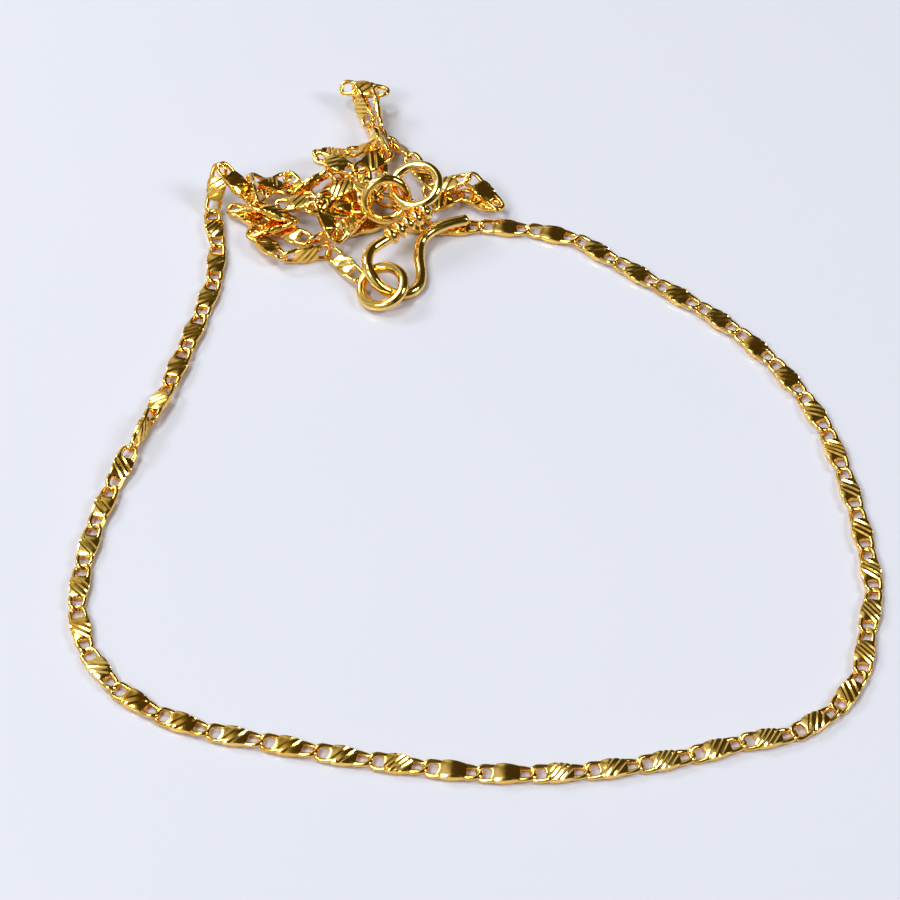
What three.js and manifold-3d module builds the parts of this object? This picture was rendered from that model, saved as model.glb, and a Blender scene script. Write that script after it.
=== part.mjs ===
// A necklace of flat gold plate links with an S-hook clasp, lying as it was put down:
// one long bight spread in front, the rest of the chain folded on itself behind it.
// Millimetres, +Z up. The links lie on z = 0 and the wearer's side of the bight is -Y.
import * as THREE from "three";
import { mergeVertices } from "three/addons/utils/BufferGeometryUtils.js";
import Module from "manifold-3d";

const wasm = await Module();
wasm.setup();

// ---------------------------------------------------------------- driving dimensions
const PITCH = 4.93; // joint to joint where the chain lies easy
const TAUT = 5.15; // joint to joint where it was drawn out straight
const PLATE_THICK = 0.8; // through the solid middle of a link
const EYE_THICK = 0.34; // through the wire of its two eyes
const EYE_TILT = 0.38; // slope across an eye's tip, which lets two flat links interlock
const EYE_PLAY = 1.28; // how far a link can slide back in the eye of the next
const PLATE_EDGE = 1.15; // from a link's middle to where its plate ends and an eye begins
const EYE_TIP = 2.6; // from a link's middle to the bar that closes an eye
const CENTRE = { x: 2.48, y: 4.83, z: -0.004 }; // the whole necklace's middle and lowest point along the route

// Half widths of a link from its blunt end to its narrow end.
const OUTLINE = [
  { along: -2.75, half: 0.64 },
  { along: -0.4, half: 1.0 },
  { along: 2.75, half: 0.52 },
];
const BLUNT_EYE = [
  { along: -2.42, half: 0.42 },
  { along: -PLATE_EDGE, half: 0.62 },
];
const NARROW_EYE = [
  { along: PLATE_EDGE, half: 0.62 },
  { along: 2.42, half: 0.34 },
];

// ---------------------------------------------------------------- the way the chain lies
// Each row is a fold or a steady section: how many links, the heading of the first in degrees
// from +X, how much each next one turns, the height of the section's far joint, how far its
// links lean over about their own length, and how many of its ends have slid back in an eye.
const ROUTE_START = { x: -9.35, y: 22.1, z: 1.0 };
const LOOSE = 0.6; // of an eye's play: enough to keep two nodes clear where they interlock
const FOLDS_FROM_RING = [
  { links: 1, heading: 130, height: 0.9, lean: 20 },
  { links: 1, heading: -167, height: 1.2, lean: 85 },
  { links: 1, heading: 134.5, height: 1.2, lean: -15 },
  { links: 1, heading: 9.5, height: 2.1, lean: 20 },
  { links: 1, heading: 161.5, height: 3, lean: -25 },
  { links: 1, heading: 96.5, height: 1.9, lean: 55 },
  { links: 1, heading: -19, height: 1.3, lean: 20 },
  { links: 1, heading: 26.5, height: 2.6, lean: 70 },
  { links: 1, heading: -64, height: 1.9, lean: 35 },
  { links: 1, heading: -166, height: 2.7, lean: 15 },
  { links: 1, heading: -2.5, height: 1.55, lean: 30 },
  { links: 1, heading: 53.5, height: 1.65, lean: 55 },
  { links: 1, heading: 94, height: 2.4, lean: 65 },
  { links: 1, heading: 103.5, height: 1.6, lean: 72 },
  { links: 1, heading: 110.5, height: 2.4, lean: 62 },
  { links: 1, heading: -15.5, height: 2.7, lean: -10, slid: 2 },
  { links: 1, heading: -82.5, height: 1.6, lean: 80 },
  { links: 1, heading: -80, height: 2.9, lean: 60 },
  { links: 1, heading: -132.5, height: 3.7, lean: 20 },
  { links: 1, heading: 148.5, height: 3.4 },
  { links: 1, heading: 40, height: 1.1 },
  { links: 1, heading: 18.5, height: 0.9, lean: 25 },
  { links: 1, heading: -60, height: 1.9, lean: 40, slid: 1 },
  { links: 1, heading: -53.5, height: 1.1 },
  { links: 1, heading: 9.5, height: 2.4, slid: 1 },
  { links: 1, heading: -47, height: 1.4 },
  { links: 1, heading: 148.5, height: 0.8 },
  { links: 1, heading: -143.5, height: 1.5 },
  { links: 1, heading: 159.5, height: 1.35 },
  { links: 1, heading: 137, height: 0.8 },
  { links: 1, heading: -128, height: 0.6 },
  { links: 1, heading: 130.5, height: 1.6, lean: 30 },
  { links: 1, heading: -134.3, height: 1.5 },
  { links: 1, heading: 145.2, height: 4.2 },
  { links: 1, heading: -107, height: 0.5, lean: 180 },
  { links: 3, heading: -80, turn: -12, height: 0.42, lean: 180 },
  { links: 2, heading: -106, turn: 0.5, height: 0.75, lean: 180 },
  { links: 1, heading: -110.5, height: 1.05, lean: 160 },
];
const FRONT_RUN = [
  { links: 1, heading: -112.5, height: 1.05, lean: 80, slid: LOOSE },
  { links: 1, heading: -109.5, height: 0.55, lean: 15 },
  { links: 3, heading: -106, turn: 6.5, height: 0.42 },
  { links: 3, heading: -75.5, turn: 20, height: 0.42, pitch: TAUT },
  { links: 2, heading: -22, turn: 10, height: 0.42, pitch: TAUT },
  { links: 3, heading: -13, turn: 2, height: 0.42, pitch: TAUT },
  { links: 1, heading: -7, height: 0.42 },
  { links: 5, heading: -1, turn: 4.5, height: 0.42 },
  { links: 4, heading: 11, turn: 23, height: 0.42 },
  { links: 2, heading: 77.5, turn: 17, height: 0.42 },
  { links: 1, heading: 97, height: 0.42 },
  { links: 2, heading: 100.5, turn: 3.5, height: 0.42, pitch: TAUT },
  { links: 4, heading: 114, turn: 8, height: 0.42, pitch: TAUT },
  { links: 3, heading: 143.5, turn: -1, height: 0.42, pitch: TAUT },
  { links: 1, heading: 165, height: 0.42, pitch: TAUT },
  { links: 2, heading: 174.5, turn: 9.5, height: 0.42 },
  { links: 1, heading: 165, height: 0.5 },
  { links: 1, heading: -155, height: 0.95 },
];
const FOLDS_TO_CLASP = [
  { links: 1, heading: -155.5, height: 1.3, lean: -80, slid: LOOSE },
  { links: 1, heading: 146.5, height: 0.75, lean: 20 },
  { links: 1, heading: 150, height: 0.7 },
  { links: 1, heading: -3, height: 1.2, lean: 30 },
  { links: 1, heading: -6, height: 2.8 },
  { links: 1, heading: -72.5, height: 1.7, lean: 20 },
  { links: 1, heading: 48.5, height: 2.2 },
  { links: 1, heading: 163, height: 2.3 },
  { links: 1, heading: 19.5, height: 3.7 },
  { links: 1, heading: -85, height: 3.5, slid: 1 },
];

// ---------------------------------------------------------------- clasp
const END_RING = { x: -6.95, y: 20.5, z: 1.45, radius: 2.27, wire: 0.57, facing: [-0.27, -0.19, 0.95] };
const JUMP_RING = { x: -6.64, y: 30.57, z: 3.75, radius: 2.22, wire: 0.5, facing: [0.19, -0.88, 0.43] };
const HOOK_EYE = { x: -3.55, y: 31.7, z: 4.67, radius: 2.4, wire: 0.52, facing: [-0.19, -0.25, 0.95] };
const HOOK_WIRE = 0.6; // radius of the hook's wire
const NECK = { from: [-6.5, 25.8, 2.95], to: [-2.2, 29.2, 3.75], radius: 0.95, valley: 0.74, turns: 5 };
// The bent wire of the hook, from its neck down through the end ring and round to its tip.
const HOOK_BEND = [
  { x: -5.6, y: 26.5, z: 2.95 },
  { x: -6.8, y: 25.5, z: 2.9 },
  { x: -8.0, y: 24.4, z: 2.85 },
  { x: -8.5, y: 23.0, z: 2.8 },
  { x: -8.3, y: 21.6, z: 2.6 },
  { x: -7.4, y: 20.5, z: 1.8 },
  { x: -6.4, y: 20.2, z: 1.05 },
  { x: -5.3, y: 20.1, z: 0.65 },
  { x: -4.1, y: 20.4, z: 0.62 },
  { x: -3.2, y: 21.4, z: 0.62 },
  { x: -3.0, y: 23.0, z: 0.65 },
  { x: -3.2, y: 24.8, z: 0.8 },
  { x: -3.1, y: 26.6, z: 1.1 },
  { x: -2.4, y: 27.7, z: 1.45 },
  { x: -1.4, y: 28.5, z: 1.55 },
  { x: 0.0, y: 29.2, z: 1.6 },
  { x: 1.5, y: 29.6, z: 1.65 },
];

// ---------------------------------------------------------------- helpers
// A closed geometry as a solid: only its positions count, and collapsed triangles are dropped.
function solidOf(geometry) {
  const bare = geometry.clone();
  bare.deleteAttribute("normal");
  bare.deleteAttribute("uv");
  const merged = mergeVertices(bare, 1e-4);
  const corners = merged.index.array;
  const kept = [];
  for (let i = 0; i < corners.length; i += 3) {
    const [a, b, c] = [corners[i], corners[i + 1], corners[i + 2]];
    if (a !== b && b !== c && c !== a) kept.push(a, b, c);
  }
  const mesh = new wasm.Mesh({
    numProp: 3,
    vertProperties: merged.attributes.position.array,
    triVerts: new Uint32Array(kept),
  });
  return new wasm.Manifold(mesh);
}

function geometryOf(solid) {
  const { vertProperties, triVerts } = solid.getMesh();
  const geometry = new THREE.BufferGeometry();
  geometry.setAttribute("position", new THREE.BufferAttribute(new Float32Array(vertProperties), 3));
  geometry.setIndex(new THREE.BufferAttribute(new Uint32Array(triVerts), 1));
  return geometry;
}

const joined = (solids) => solids.reduce((sum, solid) => sum.add(solid));

// A symmetrical outline from rows of half widths, run up one side and back down the other.
function shapeOf(rows) {
  const side = rows.map(({ along, half }) => new THREE.Vector2(along, half));
  const otherSide = rows.map(({ along, half }) => new THREE.Vector2(along, -half)).reverse();
  return new THREE.Shape([...side, ...otherSide]);
}

// ---------------------------------------------------------------- one link
// Thickness and slope change from the plate to the tips of the eyes.
function formLink(geometry) {
  const points = geometry.attributes.position;
  for (let i = 0; i < points.count; i++) {
    const along = points.getX(i);
    const part = THREE.MathUtils.clamp((Math.abs(along) - PLATE_EDGE) / (EYE_TIP - PLATE_EDGE), 0, 1);
    const thinning = THREE.MathUtils.lerp(1, EYE_THICK / PLATE_THICK, Math.min(1, 2 * part));
    const slope = -Math.sign(along) * EYE_TILT * part;
    points.setZ(i, points.getZ(i) * thinning + slope * points.getY(i));
  }
  return geometry;
}

function makeLink() {
  const cutOut = (rows, depth) => {
    const flat = new THREE.ExtrudeGeometry(shapeOf(rows), { depth, bevelEnabled: false });
    return solidOf(flat.translate(0, 0, -depth / 2));
  };
  const eyes = [BLUNT_EYE, NARROW_EYE].map((rows) => cutOut(rows, 2 * PLATE_THICK));
  return formLink(geometryOf(cutOut(OUTLINE, PLATE_THICK).subtract(joined(eyes))));
}

const LINK = makeLink();

// ---------------------------------------------------------------- chain
// Walks the rows from a joint and gives each link's placing and the joint it ends on.
function walk(start, rows) {
  const placings = [];
  let joint = new THREE.Vector3(start.x, start.y, start.z);
  for (const { links, heading, turn = 0, height, lean = 0, slid = 0, pitch = PITCH } of rows) {
    const rise = (height - joint.z) / links;
    for (let i = 0; i < links; i++) {
      const step = pitch - slid * EYE_PLAY;
      const azimuth = THREE.MathUtils.degToRad(heading + turn * i);
      const reach = Math.sqrt(step * step - rise * rise);
      const run = new THREE.Vector3(reach * Math.cos(azimuth), reach * Math.sin(azimuth), rise);
      const along = run.clone().normalize();
      const side = new THREE.Vector3(0, 0, 1).cross(along).normalize();
      const turned = side.applyAxisAngle(along, -THREE.MathUtils.degToRad(lean));
      const up = along.clone().cross(turned);
      const middle = joint.clone().addScaledVector(along, pitch / 2 - Math.min(slid, 1) * EYE_PLAY);
      const placing = new THREE.Matrix4().makeBasis(along, turned, up).setPosition(middle);
      placings.push(placing);
      joint = joint.clone().add(run);
    }
  }
  return { placings, end: joint };
}

const linksAt = (placings) => placings.map((placing) => solidOf(LINK.clone().applyMatrix4(placing)));

// ---------------------------------------------------------------- clasp parts
const facingTurn = (facing) =>
  new THREE.Quaternion().setFromUnitVectors(
    new THREE.Vector3(0, 0, 1),
    new THREE.Vector3(...facing).normalize(),
  );

function ringSolid({ x, y, z, radius, wire, facing }, wireSides = 6, steps = 16) {
  const torus = new THREE.TorusGeometry(radius, wire, wireSides, steps);
  return solidOf(torus.applyQuaternion(facingTurn(facing)).translate(x, y, z));
}

// The neck is wound with wire: a ridge for each turn.
function neckSolid({ from, to, radius, valley, turns }) {
  const start = new THREE.Vector3(...from);
  const axis = new THREE.Vector3(...to).sub(start);
  const length = axis.length();
  const profile = [new THREE.Vector2(0, 0), new THREE.Vector2(valley, 0)];
  for (let turn = 0; turn < turns; turn++) {
    profile.push(new THREE.Vector2(radius, ((turn + 0.5) / turns) * length));
    profile.push(new THREE.Vector2(valley, ((turn + 1) / turns) * length));
  }
  profile.push(new THREE.Vector2(0, length));
  const wound = new THREE.LatheGeometry(profile, 10);
  const turn = new THREE.Quaternion().setFromUnitVectors(new THREE.Vector3(0, 1, 0), axis.normalize());
  return solidOf(wound.applyQuaternion(turn).translate(...from));
}

function bendSolid(rows, wire) {
  const path = new THREE.CatmullRomCurve3(rows.map(({ x, y, z }) => new THREE.Vector3(x, y, z)));
  const section = new THREE.Shape().absarc(0, 0, wire, 0, 2 * Math.PI);
  const swept = new THREE.ExtrudeGeometry(section, {
    extrudePath: path,
    steps: 28,
    curveSegments: 4,
    bevelEnabled: false,
  });
  return solidOf(swept);
}

// ---------------------------------------------------------------- assembly
const GOLD = { color: 0xd8a83c, roughness: 0.18, metalness: 1 };
const BRIGHT_GOLD = { color: 0xe0b048, roughness: 0.12, metalness: 1 };

const necklace = new THREE.Group();

function addNode(name, solid, finish) {
  const geometry = geometryOf(solid).translate(-CENTRE.x, -CENTRE.y, -CENTRE.z).toNonIndexed();
  geometry.computeVertexNormals();
  const mesh = new THREE.Mesh(geometry, new THREE.MeshStandardMaterial({ ...finish, flatShading: true }));
  mesh.name = name;
  necklace.add(mesh);
}

const foldsFromRing = walk(ROUTE_START, FOLDS_FROM_RING);
const frontRun = walk(foldsFromRing.end, FRONT_RUN);
const foldsToClasp = walk(frontRun.end, FOLDS_TO_CLASP);
const pilePlacings = [...foldsFromRing.placings, ...foldsToClasp.placings];

addNode("chain_front", joined(linksAt(frontRun.placings)), GOLD);
addNode("chain_pile", joined([ringSolid(END_RING), ringSolid(JUMP_RING), ...linksAt(pilePlacings)]), GOLD);
addNode("s_hook", joined([ringSolid(HOOK_EYE), neckSolid(NECK), bendSolid(HOOK_BEND, HOOK_WIRE)]), BRIGHT_GOLD);

export default necklace;
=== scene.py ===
"""The looks of a gold plate-link necklace with an S-hook clasp, lying on a pale glossy table."""

import math
import random

import bmesh
import bpy
from mathutils import Matrix, Vector


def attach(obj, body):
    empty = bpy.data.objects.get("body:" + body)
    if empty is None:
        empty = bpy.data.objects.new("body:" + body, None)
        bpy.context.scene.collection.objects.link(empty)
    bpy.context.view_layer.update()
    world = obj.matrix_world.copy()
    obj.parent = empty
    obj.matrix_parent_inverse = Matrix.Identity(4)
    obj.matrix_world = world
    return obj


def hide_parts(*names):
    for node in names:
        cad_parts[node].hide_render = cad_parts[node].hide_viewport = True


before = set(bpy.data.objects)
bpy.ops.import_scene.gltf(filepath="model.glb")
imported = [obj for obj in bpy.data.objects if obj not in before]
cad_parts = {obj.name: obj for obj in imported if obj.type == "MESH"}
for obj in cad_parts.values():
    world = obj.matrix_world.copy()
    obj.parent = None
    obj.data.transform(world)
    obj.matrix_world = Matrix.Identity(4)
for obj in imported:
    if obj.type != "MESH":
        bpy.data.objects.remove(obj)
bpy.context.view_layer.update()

# ---------------------------------------------------------------- the chain's route, in millimetres
# The same rows as the part's source: links, heading of the first, height of the far joint, how
# much each next link turns, how far they lean, and how many ends have slid back in an eye.
PITCH = 4.93
TAUT = 5.15
EYE_PLAY = 1.28
LOOSE = 0.6
CENTRE = Vector((2.48, 4.83, -0.004))
ROUTE_START = Vector((-9.35, 22.1, 1.0))


def section(links, heading, height, turn=0.0, lean=0.0, slid=0.0, pitch=PITCH):
    return dict(links=links, heading=heading, height=height, turn=turn, lean=lean, slid=slid, pitch=pitch)


FOLDS_FROM_RING = [
    section(1, 130, 0.9, lean=20),
    section(1, -167, 1.2, lean=85),
    section(1, 134.5, 1.2, lean=-15),
    section(1, 9.5, 2.1, lean=20),
    section(1, 161.5, 3, lean=-25),
    section(1, 96.5, 1.9, lean=55),
    section(1, -19, 1.3, lean=20),
    section(1, 26.5, 2.6, lean=70),
    section(1, -64, 1.9, lean=35),
    section(1, -166, 2.7, lean=15),
    section(1, -2.5, 1.55, lean=30),
    section(1, 53.5, 1.65, lean=55),
    section(1, 94, 2.4, lean=65),
    section(1, 103.5, 1.6, lean=72),
    section(1, 110.5, 2.4, lean=62),
    section(1, -15.5, 2.7, lean=-10, slid=2),
    section(1, -82.5, 1.6, lean=80),
    section(1, -80, 2.9, lean=60),
    section(1, -132.5, 3.7, lean=20),
    section(1, 148.5, 3.4),
    section(1, 40, 1.1),
    section(1, 18.5, 0.9, lean=25),
    section(1, -60, 1.9, lean=40, slid=1),
    section(1, -53.5, 1.1),
    section(1, 9.5, 2.4, slid=1),
    section(1, -47, 1.4),
    section(1, 148.5, 0.8),
    section(1, -143.5, 1.5),
    section(1, 159.5, 1.35),
    section(1, 137, 0.8),
    section(1, -128, 0.6),
    section(1, 130.5, 1.6, lean=30),
    section(1, -134.3, 1.5),
    section(1, 145.2, 4.2),
    section(1, -107, 0.5, lean=180),
    section(3, -80, 0.42, turn=-12, lean=180),
    section(2, -106, 0.75, turn=0.5, lean=180),
    section(1, -110.5, 1.05, lean=160),
]
FRONT_RUN = [
    section(1, -112.5, 1.05, lean=80, slid=LOOSE),
    section(1, -109.5, 0.55, lean=15),
    section(3, -106, 0.42, turn=6.5),
    section(3, -75.5, 0.42, turn=20, pitch=TAUT),
    section(2, -22, 0.42, turn=10, pitch=TAUT),
    section(3, -13, 0.42, turn=2, pitch=TAUT),
    section(1, -7, 0.42),
    section(5, -1, 0.42, turn=4.5),
    section(4, 11, 0.42, turn=23),
    section(2, 77.5, 0.42, turn=17),
    section(1, 97, 0.42),
    section(2, 100.5, 0.42, turn=3.5, pitch=TAUT),
    section(4, 114, 0.42, turn=8, pitch=TAUT),
    section(3, 143.5, 0.42, turn=-1, pitch=TAUT),
    section(1, 165, 0.42, pitch=TAUT),
    section(2, 174.5, 0.42, turn=9.5),
    section(1, 165, 0.5),
    section(1, -155, 0.95),
]
FOLDS_TO_CLASP = [
    section(1, -155.5, 1.3, lean=-80, slid=LOOSE),
    section(1, 146.5, 0.75, lean=20),
    section(1, 150, 0.7),
    section(1, -3, 1.2, lean=30),
    section(1, -6, 2.8),
    section(1, -72.5, 1.7, lean=20),
    section(1, 48.5, 2.2),
    section(1, 163, 2.3),
    section(1, 19.5, 3.7),
    section(1, -85, 3.5, slid=1),
]


# ---------------------------------------------------------------- wire and mesh helpers
def faces_of(verts):
    return list(dict.fromkeys(face for vert in verts for face in vert.link_faces))


def edges_of(verts):
    return list(dict.fromkeys(edge for vert in verts for edge in vert.link_edges))


def ends_of(edges):
    return list(dict.fromkeys(vert for edge in edges for vert in edge.verts))


def tilt_to(facing):
    """The turn that points +Z along the given direction."""
    return Vector((0, 0, 1)).rotation_difference(Vector(facing))


def smooth_line(points, steps):
    """Points along a smooth line through the given ones, a number of steps to each stretch."""
    rows = [Vector(point) for point in points]
    rows = [2 * rows[0] - rows[1], *rows, 2 * rows[-1] - rows[-2]]
    line = []
    for before, start, end, after in zip(rows, rows[1:], rows[2:], rows[3:]):
        for i in range(steps):
            t = i / steps
            line.append(
                start
                + 0.5 * t * (end - before)
                + 0.5 * t * t * (2 * before - 5 * start + 4 * end - after)
                + 0.5 * t**3 * (3 * (start - end) + after - before)
            )
    return [*line, rows[-2]]


def section_place(point, turn, wire):
    """Where a wire's round section of unit radius goes."""
    return Matrix.Translation(point) @ turn.to_matrix().to_4x4() @ Matrix.Scale(wire, 4)


def sweep_wire(bm, line, wires, sides):
    """A round wire along a line, closed at both ends; wires holds its radius at each point."""
    runs = [(end - start).normalized() for start, end in zip(line, line[1:])]
    tangents = [runs[0], *((a + b).normalized() for a, b in zip(runs, runs[1:])), runs[-1]]
    turn = tilt_to(tangents[0])
    place = section_place(line[0], turn, wires[0])
    ring = bmesh.ops.create_circle(bm, cap_ends=True, segments=sides, radius=1, matrix=place)["verts"]
    edges = edges_of(ring)
    verts = list(ring)
    for i in range(1, len(line)):
        turn = tangents[i - 1].rotation_difference(tangents[i]) @ turn
        next_place = section_place(line[i], turn, wires[i])
        grown = bmesh.ops.extrude_edge_only(bm, edges=edges)["geom"]
        ring = [item for item in grown if isinstance(item, bmesh.types.BMVert)]
        edges = [item for item in grown if isinstance(item, bmesh.types.BMEdge)]
        edges = [edge for edge in edges if all(vert in ring for vert in edge.verts)]
        bmesh.ops.transform(bm, matrix=next_place @ place.inverted(), verts=ring)
        place = next_place
        verts.extend(ring)
    bmesh.ops.edgeloop_fill(bm, edges=edges)
    bmesh.ops.recalc_face_normals(bm, faces=faces_of(verts))


def turn_ring(bm, at, radius, wire, facing, sides=16, steps=64):
    """A plain round ring, spun from its wire's section."""
    place = Matrix.Translation(at) @ tilt_to(facing).to_matrix().to_4x4()
    stand = place @ Matrix.Translation((radius, 0, 0)) @ Matrix.Rotation(math.pi / 2, 4, "X")
    before = set(bm.verts)
    start = bmesh.ops.create_circle(bm, cap_ends=False, segments=sides, radius=wire, matrix=stand)["verts"]
    bmesh.ops.spin(
        bm,
        geom=[*start, *edges_of(start)],
        cent=Vector(at),
        axis=place.to_3x3() @ Vector((0, 0, 1)),
        angle=2 * math.pi,
        steps=steps,
        use_merge=True,
    )
    verts = [vert for vert in bm.verts if vert not in before]
    bmesh.ops.recalc_face_normals(bm, faces=faces_of(verts))


def finish_piece(bm, name, material, replaced):
    """Puts a millimetre bmesh in its place in metres, as one piece that stands for a solid."""
    bmesh.ops.transform(bm, matrix=Matrix.Scale(0.001, 4) @ Matrix.Translation(-CENTRE), verts=bm.verts[:])
    mesh = bpy.data.meshes.new(name)
    bm.to_mesh(mesh)
    bm.free()
    mesh.polygons.foreach_set("use_smooth", [True] * len(mesh.polygons))
    mesh.materials.append(material)
    piece = bpy.data.objects.new(name, mesh)
    bpy.context.scene.collection.objects.link(piece)
    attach(piece, "root")
    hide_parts(replaced)


# ---------------------------------------------------------------- plate, in millimetres
PLATE_HALF_LENGTH = 1.2
PLATE_HALF_WIDTH = 0.93
PLATE_HALF_THICK = 0.4
PLATE_CELLS = dict(x_segments=8, y_segments=4)
TAPER_STARTS = -0.3
TAPER = 0.13
ROUNDING_STARTS = -0.8
ROUNDING = 1.1
START_CORNER = 0.22  # how far the corners of the blunt end reach past its middle
THINNING = 0.13
DOME = 0.045
RIM = 0.07
RIM_STEPS = ((0.65, 0.3), (0.35, 0.7))  # how far out and down each step of the rim goes
WAIST_SWELL = 1.02
CREASE = math.radians(24)
MERGE = 1e-4

GROOVE_ANGLE = math.radians(50)
GROOVE_HALF_WIDTH = 0.17
GROOVE_DEPTH = 0.10
TWO_CUTS = (-0.4, 0.5)
THREE_CUTS = (-0.75, 0.0, 0.75)
FOUR_CUTS = (-0.86, -0.29, 0.29, 0.86)
ACROSS_GROOVE = Vector((math.sin(GROOVE_ANGLE), -math.cos(GROOVE_ANGLE), 0))


def half_width(along):
    """Half width of the plate's top: nearly even, rounded at its start and drawn in at its end."""
    tapered = max(0.0, along - TAPER_STARTS) ** 1.5
    rounded = max(0.0, ROUNDING_STARTS - along) ** 1.5
    return PLATE_HALF_WIDTH - TAPER * tapered - ROUNDING * rounded


def half_thick(along, across):
    """The plate thins toward its eyes like a lens, and is a little domed across."""
    return PLATE_HALF_THICK - THINNING * (along / PLATE_HALF_LENGTH) ** 2 - DOME * across**2


def groove_depth(point, grooves):
    """How deep the nearest V-shaped groove is at a point of the plate."""
    nearest = min(abs((point - Vector((groove, 0, point.z))).dot(ACROSS_GROOVE)) for groove in grooves)
    return GROOVE_DEPTH * max(0.0, 1 - nearest / GROOVE_HALF_WIDTH)


def grow_rim(bm, rim):
    """Extrudes the open rim once, in place, and returns its new edges."""
    grown = bmesh.ops.extrude_edge_only(bm, edges=rim)["geom"]
    return [item for item in grown if isinstance(item, bmesh.types.BMEdge) and item.is_boundary]


def everything(bm):
    return bm.verts[:] + bm.edges[:] + bm.faces[:]


def make_plate(grooves):
    """One plate: a cut top, a rounded rim, and the same again below."""
    bm = bmesh.new()
    for vert in bmesh.ops.create_grid(bm, size=1, **PLATE_CELLS)["verts"]:
        along, across = vert.co.x, vert.co.y
        corner = START_CORNER * across**2 if along < -0.99 else 0.0
        vert.co.x = along * PLATE_HALF_LENGTH - corner
        vert.co.y = across * half_width(along * PLATE_HALF_LENGTH)
    for groove in grooves:
        for offset in (-GROOVE_HALF_WIDTH, 0, GROOVE_HALF_WIDTH):
            point = Vector((groove, 0, 0)) + offset * ACROSS_GROOVE
            cut = dict(plane_co=point, plane_no=ACROSS_GROOVE)
            bmesh.ops.bisect_plane(bm, geom=everything(bm), dist=MERGE, **cut)
    for vert in bm.verts:
        vert.co.z = half_thick(vert.co.x, vert.co.y)
        if grooves:
            vert.co.z -= groove_depth(vert.co, grooves)
    rim = [edge for edge in bm.edges if edge.is_boundary]
    for out, down in RIM_STEPS:
        rim = grow_rim(bm, rim)
        for vert in ends_of(rim):
            vert.co.x *= 1 + out * RIM / PLATE_HALF_LENGTH
            vert.co.y *= 1 + out * RIM
            vert.co.z -= down * RIM
    rim = grow_rim(bm, rim)
    for vert in ends_of(rim):
        vert.co.y *= WAIST_SWELL
        vert.co.z = 0
    bmesh.ops.mirror(bm, geom=everything(bm), axis="Z", merge_dist=MERGE)
    bmesh.ops.remove_doubles(bm, verts=bm.verts[:], dist=MERGE)
    bmesh.ops.recalc_face_normals(bm, faces=bm.faces[:])
    for edge in bm.edges:
        edge.smooth = edge.calc_face_angle(0) < CREASE
    return bm


# ---------------------------------------------------------------- wire eyes and whole links
# Half of each eye as (along the link, half across it), from inside the plate to its far end.
BLUNT_EYE = [
    (-0.5, 0.5),
    (-1.05, 0.68),
    (-1.5, 0.72),
    (-2.05, 0.7),
    (-2.4, 0.56),
    (-2.56, 0.34),
    (-2.6, 0.0),
]
NARROW_EYE = [
    (0.5, 0.5),
    (1.1, 0.62),
    (1.55, 0.66),
    (2.05, 0.6),
    (2.42, 0.42),
    (2.56, 0.22),
    (2.6, 0.0),
]
EYE_WIRE = 0.24
EYE_SIDES = 8
EYE_TILT = 0.38
EYE_STARTS = 1.15
EYE_REACH = 1.45
SHANK_SWELL = 0.2
SHANK_ENDS = 1.7


def clamped(value):
    return min(1, max(0, value))


def add_eye(bm, rows):
    """A wire eye, twisted so that it meets the eye of the next link."""
    end = math.copysign(1, rows[0][0])
    outline = [*rows, *((along, -across) for along, across in reversed(rows[:-1]))]
    twisted = []
    for along, across in outline:
        reach = clamped((abs(along) - EYE_STARTS) / EYE_REACH)
        twisted.append((along, across, -end * EYE_TILT * reach * across))
    line = smooth_line(twisted, 2)
    wires = [EYE_WIRE * (1 + SHANK_SWELL * clamped(SHANK_ENDS - abs(point.x))) for point in line]
    sweep_wire(bm, line, wires, EYE_SIDES)


def make_link(name, grooves):
    bm = make_plate(grooves)
    add_eye(bm, BLUNT_EYE)
    add_eye(bm, NARROW_EYE)
    mesh = bpy.data.meshes.new(name)
    bm.to_mesh(mesh)
    bm.free()
    return mesh


# ---------------------------------------------------------------- chain
TIP = 2  # how far a link may tip sideways and nod lengthways out of true, in degrees
NOD = 1


def walk(start, rows):
    """Walks the rows from a joint: each link's place, and the joint that the last one ends on."""
    places = []
    joint = start.copy()
    for row in rows:
        rise = (row["height"] - joint.z) / row["links"]
        step = row["pitch"] - row["slid"] * EYE_PLAY
        reach = math.sqrt(step * step - rise * rise)
        for i in range(row["links"]):
            heading = math.radians(row["heading"] + row["turn"] * i)
            run = Vector((reach * math.cos(heading), reach * math.sin(heading), rise))
            along = run.normalized()
            side = Vector((0, 0, 1)).cross(along).normalized()
            side.rotate(Matrix.Rotation(-math.radians(row["lean"]), 3, along))
            up = along.cross(side)
            place = Matrix((along, side, up)).transposed().to_4x4()
            place.translation = joint + along * (row["pitch"] / 2 - min(row["slid"], 1) * EYE_PLAY)
            places.append(place)
            joint = joint + run
    return places, joint


def lay_links(bm, places, link_for, seed):
    """Lays a link at each place, each a touch out of true and with its own polish."""
    chance = random.Random(seed)
    polish = bm.verts.layers.float.new("polish")
    for i, place in enumerate(places):
        before = len(bm.verts)
        bm.from_mesh(link_for(i))
        bm.verts.ensure_lookup_table()
        verts = bm.verts[before:]
        tip = Matrix.Rotation(math.radians(chance.uniform(-TIP, TIP)), 4, "X")
        nod = Matrix.Rotation(math.radians(chance.uniform(-NOD, NOD)), 4, "Y")
        bmesh.ops.transform(bm, matrix=place @ tip @ nod, verts=verts)
        shade = chance.random()
        for vert in verts:
            vert[polish] = shade


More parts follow.
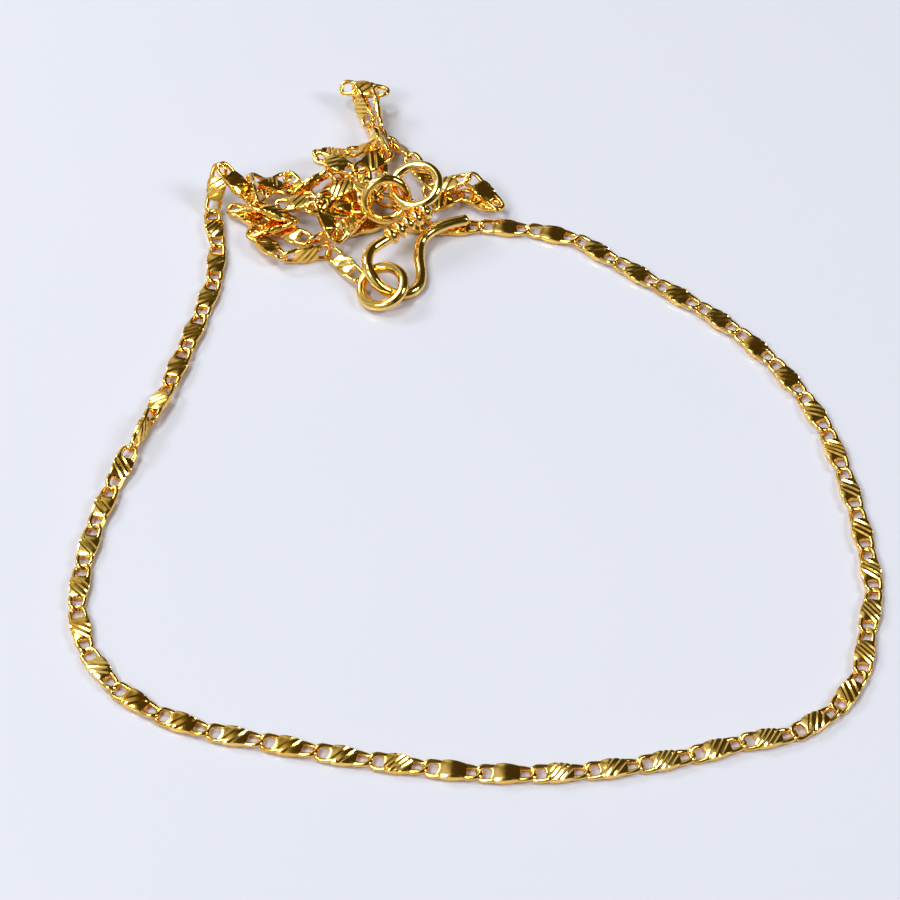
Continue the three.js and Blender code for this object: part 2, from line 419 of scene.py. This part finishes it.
# ---------------------------------------------------------------- clasp, in millimetres
END_RING = dict(at=(-6.95, 20.5, 1.45), radius=2.27, wire=0.57, facing=(-0.27, -0.19, 0.95))
JUMP_RING = dict(at=(-6.64, 30.57, 3.75), radius=2.22, wire=0.5, facing=(0.19, -0.88, 0.43))
HOOK_EYE = dict(at=(-3.55, 31.7, 4.67), radius=2.4, wire=0.52, facing=(-0.19, -0.25, 0.95))
HOOK_WIRE = 0.6
HOOK_SIDES = 20
WRAP_FACETS = dict(sides=14, steps=32)
CORE_SIDES = 16
NECK = dict(start=(-6.5, 25.8, 2.95), end=(-2.2, 29.2, 3.75), radius=1.02, wire=0.46, wraps=5, slant=11)
HOOK_BEND = [
    (-5.6, 26.5, 2.95),
    (-6.8, 25.5, 2.9),
    (-8.0, 24.4, 2.85),
    (-8.5, 23.0, 2.8),
    (-8.3, 21.6, 2.6),
    (-7.4, 20.5, 1.8),
    (-6.4, 20.2, 1.05),
    (-5.3, 20.1, 0.65),
    (-4.1, 20.4, 0.62),
    (-3.2, 21.4, 0.62),
    (-3.0, 23.0, 0.65),
    (-3.2, 24.8, 0.8),
    (-3.1, 26.6, 1.1),
    (-2.4, 27.7, 1.45),
    (-1.4, 28.5, 1.55),
    (0.0, 29.2, 1.6),
    (1.5, 29.6, 1.65),
]
# The rounded tip beyond the bend: how far each step goes, and its share of the wire's radius.
HOOK_TIP = [
    (0.17, 0.97),
    (0.136, 0.84),
    (0.106, 0.6),
    (0.089, 0.25),
]


def wind_neck(bm, start, end, radius, wire, wraps, slant):
    """The eye's wire wound round the neck: one slanted wrap after another, over a core."""
    start, end = Vector(start), Vector(end)
    axis = end - start
    tilt = Matrix.Rotation(math.radians(slant), 3, axis.cross(Vector((0, 0, 1))))
    for i in range(wraps):
        at = start + axis * ((i + 0.5) / wraps)
        turn_ring(bm, at, radius - wire, wire, tilt @ axis.normalized(), **WRAP_FACETS)
    sweep_wire(bm, [start, start + axis * 0.5, end], [HOOK_WIRE] * 3, CORE_SIDES)


def bend_hook(bm):
    """The bent wire of the hook, with a rounded tip."""
    line = smooth_line(HOOK_BEND, 6)
    wires = [HOOK_WIRE] * len(line)
    forward = (line[-1] - line[-2]).normalized()
    for step, thickness in HOOK_TIP:
        line.append(line[-1] + forward * step)
        wires.append(HOOK_WIRE * thickness)
    sweep_wire(bm, line, wires, HOOK_SIDES)


# ---------------------------------------------------------------- shader helpers
class Value:
    """A shader socket that ordinary arithmetic works on."""

    def __init__(self, graph, socket):
        self.graph = graph
        self.socket = socket

    def math(self, operation, first, second):
        return self.graph.node("ShaderNodeMath", dict(operation=operation), [first, second])

    def __add__(self, other):
        return self.math("ADD", self, other)

    def __mul__(self, other):
        return self.math("MULTIPLY", self, other)

    def __sub__(self, other):
        return self.math("SUBTRACT", self, other)

    def __rsub__(self, other):
        return self.math("SUBTRACT", other, self)

    __radd__ = __add__
    __rmul__ = __mul__


class Graph:
    """The node tree of a finish, or of the studio round the table."""

    def __init__(self, owner):
        owner.use_nodes = True
        self.nodes = owner.node_tree.nodes
        self.links = owner.node_tree.links

    def node(self, kind, settings, inputs, output=0):
        made = self.nodes.new(kind)
        for key, setting in settings.items():
            if key == "stops":
                self.set_stops(made.color_ramp, setting)
            else:
                setattr(made, key, setting)
        pairs = inputs.items() if isinstance(inputs, dict) else enumerate(inputs)
        for key, value in pairs:
            self.feed(made.inputs[key], value)
        return Value(self, made.outputs[output])

    def set_stops(self, ramp, stops):
        for i, (place, colour) in enumerate(stops):
            stop = ramp.elements[i] if i < 2 else ramp.elements.new(place)
            stop.position = place
            stop.color = colour

    def feed(self, socket, value):
        if isinstance(value, Value):
            self.links.new(value.socket, socket)
        else:
            socket.default_value = value

    def finish(self, shader, **inputs):
        for name, value in inputs.items():
            self.feed(self.nodes[shader].inputs[name.replace("_", " ").title()], value)

    def point(self, kind):
        return self.node("ShaderNodeTexCoord", {}, [], kind)

    def noise(self, point, scale, detail=3.0, rough=0.5):
        inputs = {"Vector": point, "Scale": scale, "Detail": detail, "Roughness": rough}
        return self.node("ShaderNodeTexNoise", {}, inputs, "Fac")

    def mix(self, share, first, second):
        settings = dict(data_type="RGBA", blend_type="MIX")
        return self.node("ShaderNodeMix", settings, {0: share, 6: first, 7: second}, 2)

    def between(self, value, low, high, start=0.0, end=1.0):
        """Runs smoothly from start to end while the value goes from low to high."""
        settings = dict(interpolation_type="SMOOTHSTEP")
        return self.node("ShaderNodeMapRange", settings, {0: value, 1: low, 2: high, 3: start, 4: end})

    def stretched(self, point, scale, turn):
        return self.node("ShaderNodeMapping", {}, {"Vector": point, "Rotation": turn, "Scale": scale})


# ---------------------------------------------------------------- finishes
PAINTED_CREVICE_REFLECTION = (1.0, 0.44, 0.045, 1)  # painted reflection: the darker orange of gold mirrored in gold, painted where links crowd together
PAINTED_REFLECTION_REACH = 0.002
HAIRLINES = dict(scale=(9000.0, 700.0, 2500.0), turn=(0.3, 0.2, 0.7))
MARK_HEIGHT = 0.00003


def gold_finish(name, pale, deep, smooth, worn):
    """Polished gold: it drifts in colour, dulls in patches, carries hairline marks, and has painted
    reflection of gold in gold in its crevices.
    """
    material = bpy.data.materials.new(name)
    graph = Graph(material)
    point = graph.point("Object")
    polish = graph.node("ShaderNodeAttribute", dict(attribute_name="polish"), [], "Fac")
    drift = graph.noise(point, 180.0, 4.0)
    patches = graph.between(graph.noise(point, 520.0, 5.0, 0.6), 0.42, 0.7)
    hairline = graph.noise(graph.stretched(point, **HAIRLINES), 1.0, 2.0)
    grain = graph.noise(point, 5200.0)
    # Painted reflection: the more enclosed the surface is, the more its base colour is painted the orange
    # of gold mirrored in gold.
    open_side = graph.node("ShaderNodeAmbientOcclusion", dict(samples=8), {"Distance": PAINTED_REFLECTION_REACH}, "AO")
    colour = graph.mix(graph.between(drift + 0.3 * polish, 0.4, 0.9), pale, deep)
    colour = graph.mix(0.9 * graph.between(1 - open_side, 0.3, 0.72), colour, PAINTED_CREVICE_REFLECTION)
    roughness = smooth + (worn - smooth) * (0.6 * patches + 0.4 * polish) + 0.05 * hairline
    marks = {"Strength": 0.12, "Distance": MARK_HEIGHT, "Height": 0.5 * hairline + 0.5 * grain}
    bump = graph.node("ShaderNodeBump", {}, marks)
    graph.finish("Principled BSDF", base_color=colour, metallic=1.0, roughness=roughness, normal=bump)
    return material


def table_finish():
    """A pale glossy table with the faintest mottling."""
    material = bpy.data.materials.new("pale_table")
    graph = Graph(material)
    point = graph.point("Object")
    colour = graph.mix(graph.noise(point, 14.0), (0.735, 0.775, 0.905, 1), (0.76, 0.795, 0.92, 1))
    roughness = 0.1 + 0.06 * graph.noise(point, 60.0, 4.0)
    graph.finish("Principled BSDF", base_color=colour, roughness=roughness)
    return material


gold = gold_finish("chain_gold", (1.0, 0.71, 0.21, 1), (0.96, 0.6, 0.12, 1), 0.06, 0.15)
bright_gold = gold_finish("hook_gold", (1.0, 0.72, 0.23, 1), (0.97, 0.63, 0.15, 1), 0.05, 0.11)

# ---------------------------------------------------------------- pieces
# Plates of the open bight that are mirrors, or have two or four cuts; the others have three.
MIRROR_PLATES = (13, 14, 35, 36)
TWO_CUT_PLATES = (2, 3, 7, 8, 9, 10, 11, 34)
FOUR_CUT_PLATES = (12, 15, 17, 19, 22, 23, 24, 27)

plain_link = make_link("plain_link", ())
two_cut_link = make_link("two_cut_link", TWO_CUTS)
three_cut_link = make_link("three_cut_link", THREE_CUTS)
four_cut_link = make_link("four_cut_link", FOUR_CUTS)


def front_link(i):
    if i in MIRROR_PLATES:
        return plain_link
    if i in TWO_CUT_PLATES:
        return two_cut_link
    return four_cut_link if i in FOUR_CUT_PLATES else three_cut_link


def heap_link(i):
    return (two_cut_link, three_cut_link, four_cut_link)[i % 3]


places_from_ring, front_start = walk(ROUTE_START, FOLDS_FROM_RING)
front_places, front_end = walk(front_start, FRONT_RUN)
places_to_clasp = walk(front_end, FOLDS_TO_CLASP)[0]

bm = bmesh.new()
lay_links(bm, front_places, front_link, seed=4)
finish_piece(bm, "front_chain", gold, "chain_front")

bm = bmesh.new()
lay_links(bm, places_from_ring + places_to_clasp, heap_link, seed=9)
turn_ring(bm, **END_RING)
turn_ring(bm, **JUMP_RING)
finish_piece(bm, "heaped_chain", gold, "chain_pile")

bm = bmesh.new()
turn_ring(bm, **HOOK_EYE)
wind_neck(bm, **NECK)
bend_hook(bm)
finish_piece(bm, "wound_hook", bright_gold, "s_hook")

# ---------------------------------------------------------------- table, in metres
TABLE_HALF_SIDE = 0.8

bm = bmesh.new()
bmesh.ops.create_grid(bm, x_segments=1, y_segments=1, size=TABLE_HALF_SIDE)
mesh = bpy.data.meshes.new("table")
bm.to_mesh(mesh)
bm.free()
mesh.materials.append(table_finish())
table = bpy.data.objects.new("table", mesh)
bpy.context.scene.collection.objects.link(table)

# ---------------------------------------------------------------- studio round the table
# A cloudy room for the gold to mirror: dim, mid and bright patches, brighter to the left.
STUDIO_TONES = [
    (0.46, (0.08, 0.058, 0.018, 1)),
    (0.6, (0.46, 0.41, 0.25, 1)),
    (0.74, (0.95, 0.92, 0.86, 1)),
]
LEFT_LIFT = dict(low=0.08, high=-0.16, start=-0.09, end=0.18)

world = bpy.data.worlds.new("studio")
bpy.context.scene.world = world
studio = Graph(world)
direction = studio.point("Generated")
left_right = studio.node("ShaderNodeSeparateXYZ", {}, [direction], "X")
lift = studio.between(left_right, **LEFT_LIFT)
clouds = studio.noise(direction, 2.6, 2.0) + lift
tones = studio.node("ShaderNodeValToRGB", dict(stops=STUDIO_TONES), [clouds], "Color")
studio.finish("Background", color=tones, strength=0.63)
bpy.context.scene.view_settings.view_transform = "Standard"


# ---------------------------------------------------------------- softboxes and camera, in metres
def softbox(name, at, size, watts):
    """A rectangular light that faces the necklace."""
    light = bpy.data.lights.new(name, "AREA")
    light.shape = "RECTANGLE"
    light.size, light.size_y = size
    light.energy = watts
    lamp = bpy.data.objects.new(name, light)
    lamp.location = at
    lamp.rotation_euler = (-Vector(at)).to_track_quat("-Z", "Y").to_euler()
    bpy.context.scene.collection.objects.link(lamp)


softbox("front_left", (-0.34, -0.3, 0.52), (0.2, 0.2), 1.4)
softbox("right", (0.46, -0.08, 0.42), (0.16, 0.24), 1.32)
softbox("back_left", (-0.42, 0.34, 0.4), (0.2, 0.16), 1.22)
softbox("overhead", (-0.22, 0.08, 0.62), (0.2, 0.16), 1.22)

CAMERA_AT = (-0.00248, -0.21393, 0.255504)
LOOKS_DOWN = 50.7

camera = bpy.data.objects.new("camera", bpy.data.cameras.new("camera"))
camera.data.lens = 133.5
camera.data.sensor_width = 36
camera.data.clip_start = 0.01
camera.location = CAMERA_AT
camera.rotation_euler = (math.radians(90 - LOOKS_DOWN), 0, 0)
bpy.context.scene.collection.objects.link(camera)
bpy.context.scene.camera = camera
